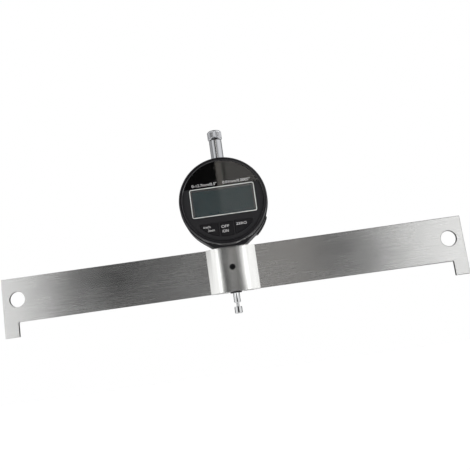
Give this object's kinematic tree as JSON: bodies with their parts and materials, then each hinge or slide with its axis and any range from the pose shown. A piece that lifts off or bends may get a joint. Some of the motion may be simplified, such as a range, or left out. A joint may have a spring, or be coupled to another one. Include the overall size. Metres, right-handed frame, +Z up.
{
  "type": "neck relief gauge",
  "caption": "Straight beam with a foot at each end and a central hub that clamps a digital indicator, whose spindle measures the relief of an instrument's neck.",
  "frame": {"origin": "the middle of the contact point's flat face, on the spindle's axis, with the spindle fully out", "axes": "+X along the beam, to the right seen from the front; -Y out of the indicator's face; +Z up along the spindle"},
  "size_m": [0.3116, 0.0418, 0.1261],
  "materials": {
    "brushed_steel": "stainless plate, brushed along its length",
    "hub_steel": "stainless block, fine satin machining",
    "bright_steel": "ground bright steel",
    "black_steel": "black oxide",
    "brass": "turned bronze",
    "black_moulding": "moulded, fine satin",
    "clear_pane": "clear acrylic, polished",
    "silver_trim": "bright aluminium trim",
    "display": "grey-green display, blank",
    "key_rubber": "moulded rubber",
    "circuit_board": "solder mask on glass-epoxy board"
  },
  "bodies": {
    "gauge": {"left_arm": "brushed_steel", "right_arm": "brushed_steel", "hub": "hub_steel", "clamp_screw": "black_steel", "hub_bush": "black_steel", "stem": "bright_steel", "lower_bush": "brass", "upper_bush": "brass", "upper_sleeve": "bright_steel", "guide_pin": "bright_steel", "return_spring": "bright_steel", "rear_case": "black_moulding", "back_cover": "black_moulding", "back_screws": "black_steel", "bezel_ring": "black_moulding", "face_panel": "black_moulding", "window_pane": "clear_pane", "lcd_frame": "silver_trim", "lcd_glass": "display", "main_board": "circuit_board", "controller_chip": "black_moulding", "elastomer_strips": "key_rubber", "key_mat": "key_rubber", "cell_clips": "brass"},
    "spindle_group": {"spindle": "bright_steel", "contact_point": "bright_steel", "lifting_knob": "bright_steel", "scale_carriage": "brass", "carriage_screw": "black_steel", "scale_strip": "circuit_board"},
    "power_key": {"key_power": "key_rubber"},
    "zero_key": {"key_zero": "key_rubber"},
    "unit_key": {"key_unit": "key_rubber"},
    "drawer": {"cell_drawer": "black_moulding", "button_cell": "bright_steel"}
  },
  "joints": [
    {"name": "spindle_travel", "type": "slide", "parent": "gauge", "child": "spindle_group", "axis": [0, 0, 1], "range_m": [0, 0.0127], "stiffness_N_per_m": 50, "springref_m": -0.02, "deforming": ["return_spring"]},
    {"name": "power_press", "type": "slide", "parent": "gauge", "child": "power_key", "axis": [0, 1, 0], "range_m": [0, 0.0004], "stiffness_N_per_m": 2000, "springref_m": -0.0002},
    {"name": "zero_press", "type": "slide", "parent": "gauge", "child": "zero_key", "axis": [0, 1, 0], "range_m": [0, 0.0004], "stiffness_N_per_m": 2000, "springref_m": -0.0002},
    {"name": "unit_press", "type": "slide", "parent": "gauge", "child": "unit_key", "axis": [0, 1, 0], "range_m": [0, 0.0004], "stiffness_N_per_m": 2000, "springref_m": -0.0002},
    {"name": "drawer_pull", "type": "slide", "parent": "gauge", "child": "drawer", "axis": [0.809, 0, -0.5878], "range_m": [0, 0.014]}
  ]
}
